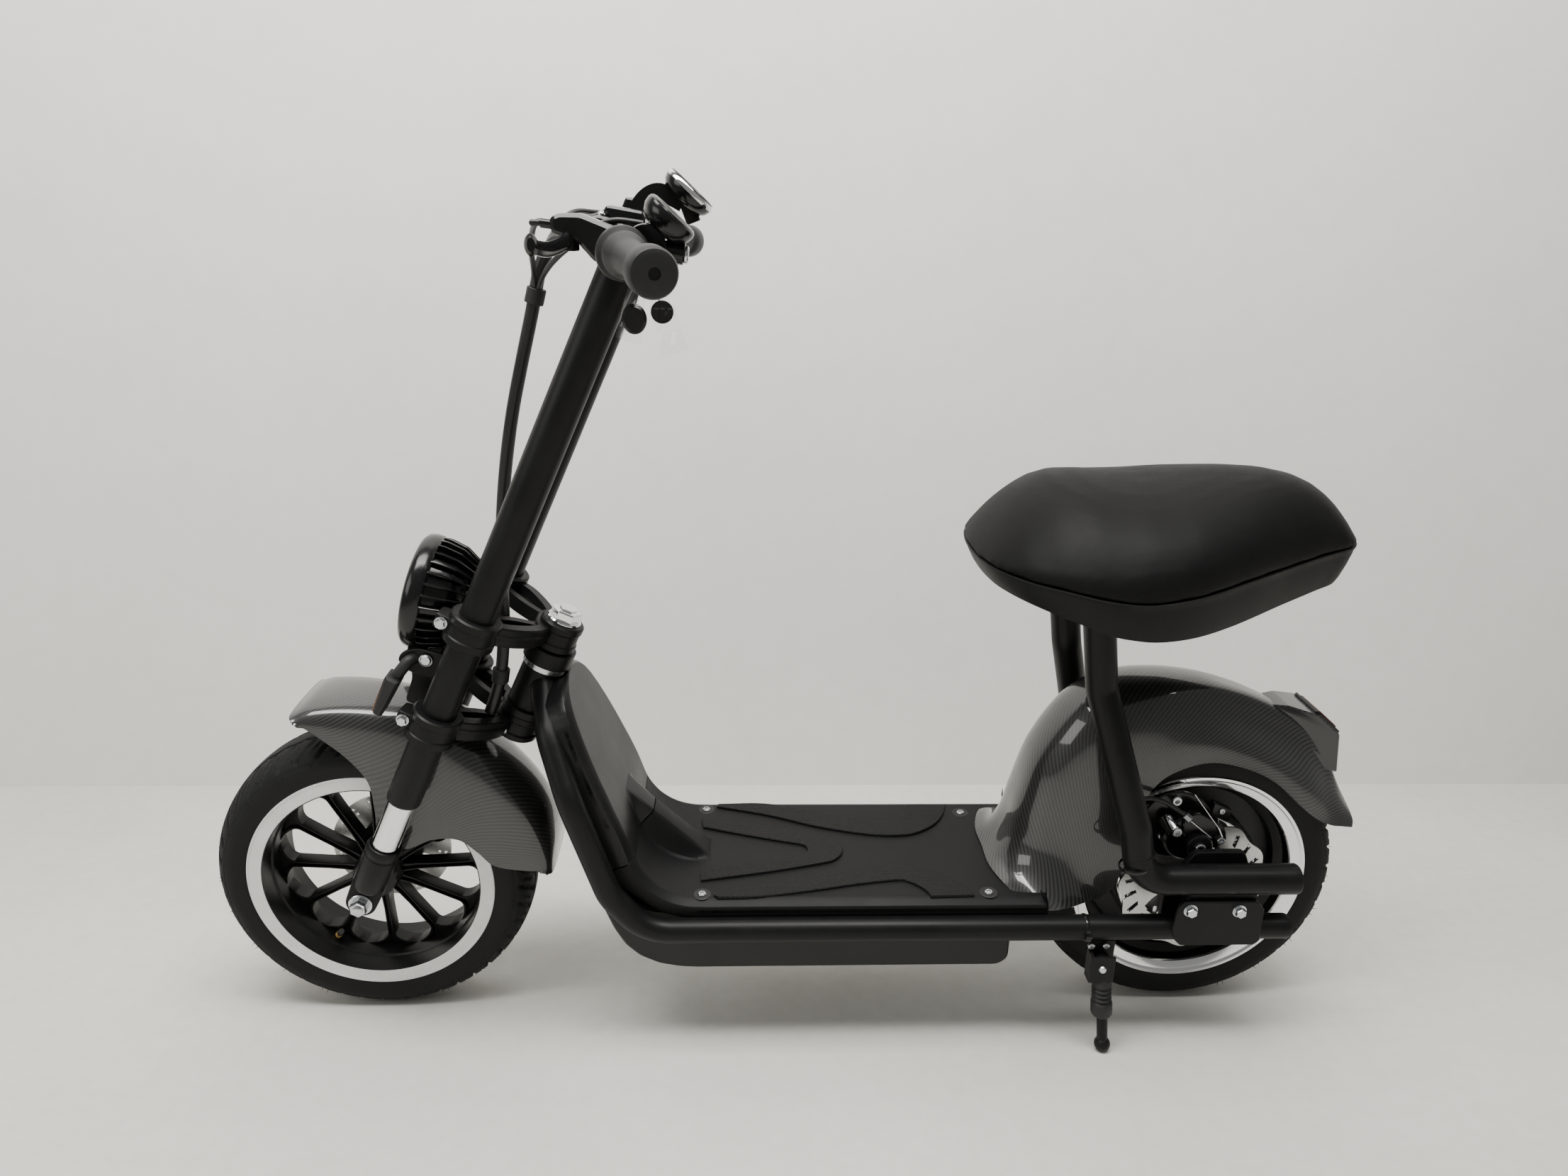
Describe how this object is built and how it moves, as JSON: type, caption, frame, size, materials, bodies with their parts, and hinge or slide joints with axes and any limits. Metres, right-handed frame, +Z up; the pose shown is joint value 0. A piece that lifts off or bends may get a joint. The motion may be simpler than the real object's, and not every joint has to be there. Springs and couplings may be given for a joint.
{
  "type": "electric chopper scooter",
  "caption": "Seated electric scooter with two fat wheels, twin-tube raked fork, flat footboard, wide saddle and side stand, leaning as parked.",
  "frame": {"origin": "centre of the parked, leaning scooter's bounding box, on the floor", "axes": "+X to the front wheel, +Y to the scooter's left, the side it leans to, +Z up"},
  "size_m": [1.3418, 0.5864, 0.941],
  "materials": {
    "frame_paint": "satin",
    "clamp_paint": "satin",
    "carbon_gloss": "gloss",
    "carbon_matte": "matte",
    "deck_plastic": "matte",
    "pad_rubber": "matte",
    "seat_vinyl": "satin",
    "tyre_rubber": "matte",
    "rim_black": "satin",
    "rim_chrome": "polished",
    "disc_steel": "brushed",
    "chrome": "polished",
    "zinc": "satin",
    "lamp_black": "satin",
    "lamp_glass": "gloss",
    "lamp_smoke": "gloss",
    "grip_rubber": "matte",
    "cable_rubber": "satin"
  },
  "bodies": {
    "frame": {"head_tube": "frame_paint", "main_tube_left": "frame_paint", "rear_tube_left": "frame_paint", "axle_plate_left": "frame_paint", "main_tube_right": "frame_paint", "rear_tube_right": "frame_paint", "axle_plate_right": "frame_paint", "cross_tubes": "frame_paint", "rear_axle": "zinc", "rear_fender": "carbon_gloss", "tail_lamp": "lamp_smoke", "battery_box": "carbon_matte", "leg_shield": "deck_plastic", "footboard": "deck_plastic", "deck_pads": "pad_rubber", "seat_base": "deck_plastic", "seat_cushion": "seat_vinyl", "rear_caliper": "lamp_black", "stand_bracket": "frame_paint"},
    "fork": {"fork_leg_left": "frame_paint", "fork_leg_right": "frame_paint", "stanchion_left": "chrome", "stanchion_right": "chrome", "slider_left": "frame_paint", "slider_right": "frame_paint", "front_axle": "zinc", "lower_clamp": "clamp_paint", "upper_clamp": "clamp_paint", "steering_stem": "chrome", "front_fender": "carbon_gloss", "headlamp": "lamp_black", "headlamp_lens": "lamp_glass", "headlamp_bracket": "clamp_paint", "turn_signal_left": "lamp_black", "turn_signal_right": "lamp_black", "handlebar": "frame_paint", "grip_left": "grip_rubber", "grip_right": "grip_rubber", "brake_lever_left": "lamp_black", "brake_lever_right": "lamp_black", "bar_clamps": "frame_paint", "display": "lamp_black", "switch_pod": "lamp_black", "cable_bundle": "cable_rubber", "front_caliper": "lamp_black"},
    "front_wheel": {"front_tyre": "tyre_rubber", "front_rim": "rim_black", "front_disc": "disc_steel"},
    "rear_wheel": {"rear_tyre": "tyre_rubber", "rear_rim": "rim_chrome", "rear_disc": "disc_steel"},
    "stand": {"side_stand": "frame_paint"}
  },
  "joints": [
    {"name": "steering", "type": "hinge", "parent": "frame", "child": "fork", "pos_m": [0.29478, -0.06092, 0.41827], "axis": [-0.4099, 0.1222, 0.9039], "range_deg": [-38, 38]},
    {"name": "front_spin", "type": "hinge", "parent": "fork", "child": "front_wheel", "pos_m": [0.49072, -0.09319, 0.1796], "axis": [0, 0.991, -0.134], "continuous": true},
    {"name": "rear_spin", "type": "hinge", "parent": "frame", "child": "rear_wheel", "pos_m": [-0.45928, -0.09319, 0.1796], "axis": [0, 0.991, -0.134], "continuous": true},
    {"name": "stand_fold", "type": "hinge", "parent": "frame", "child": "stand", "pos_m": [-0.33628, 0.02047, 0.10974], "axis": [0, 0.991, -0.134], "range_deg": [0, 82]}
  ]
}
